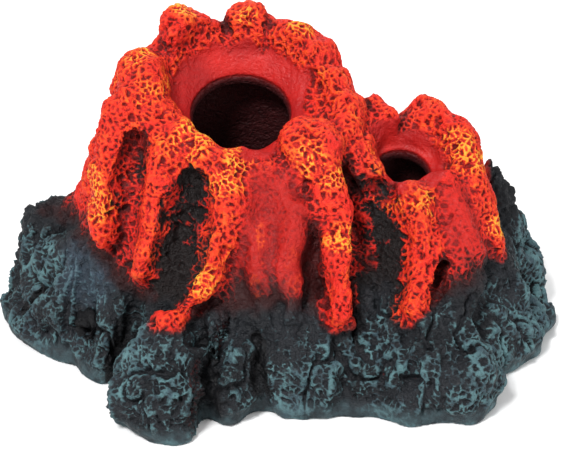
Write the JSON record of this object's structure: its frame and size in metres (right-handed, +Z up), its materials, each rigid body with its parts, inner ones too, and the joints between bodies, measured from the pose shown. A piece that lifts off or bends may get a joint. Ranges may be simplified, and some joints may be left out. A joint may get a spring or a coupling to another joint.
{
  "type": "bubbling ornament",
  "caption": "Hollow twin-crater volcano for an aquarium floor, with lobed lava rims, a rock skirt, and air stones on a branched airline that bubble out of both craters.",
  "frame": {"origin": "middle of the outline, on the tank floor", "axes": "+X to the right along the two craters with the side crater on +X, +Y to the back where the airline enters, +Z up"},
  "size_m": [0.1648, 0.1164, 0.0953],
  "materials": {
    "painted_resin": "matt cast resin, lava red and orange over slate-grey rock",
    "airline": "milky translucent silicone",
    "cup_rubber": "smooth pale rubber",
    "clip_plastic": "black moulded plastic",
    "fitting_plastic": "black moulded plastic",
    "nipple_plastic": "white moulded plastic",
    "porous_stone": "coarse sintered grains, blue"
  },
  "bodies": {
    "air_unit": {"inlet_coupling": "fitting_plastic", "tube_inlet": "airline", "tee_connector": "fitting_plastic", "tube_main": "airline", "tube_side": "airline", "elbow_main": "fitting_plastic", "elbow_side": "fitting_plastic", "riser_tube_main": "airline", "riser_tube_side": "airline", "suction_cup_inlet": "cup_rubber", "suction_cup_main": "cup_rubber", "suction_cup_side": "cup_rubber", "tube_clip_inlet": "clip_plastic", "tube_clip_main": "clip_plastic", "tube_clip_side": "clip_plastic"},
    "shell": {"volcano_shell": "painted_resin"},
    "stone_main": {"air_stone_main": "porous_stone", "stone_nipple_main": "nipple_plastic"},
    "stone_side": {"air_stone_side": "porous_stone", "stone_nipple_side": "nipple_plastic"}
  },
  "joints": [
    {"name": "shell_lift", "type": "slide", "parent": "air_unit", "child": "shell", "axis": [0, 0, 1], "range_m": [0, 0.06]},
    {"name": "stone_pull_main", "type": "slide", "parent": "air_unit", "child": "stone_main", "axis": [0, 0, 1], "range_m": [0, 0.005]},
    {"name": "stone_pull_side", "type": "slide", "parent": "air_unit", "child": "stone_side", "axis": [0, 0, 1], "range_m": [0, 0.003]}
  ]
}
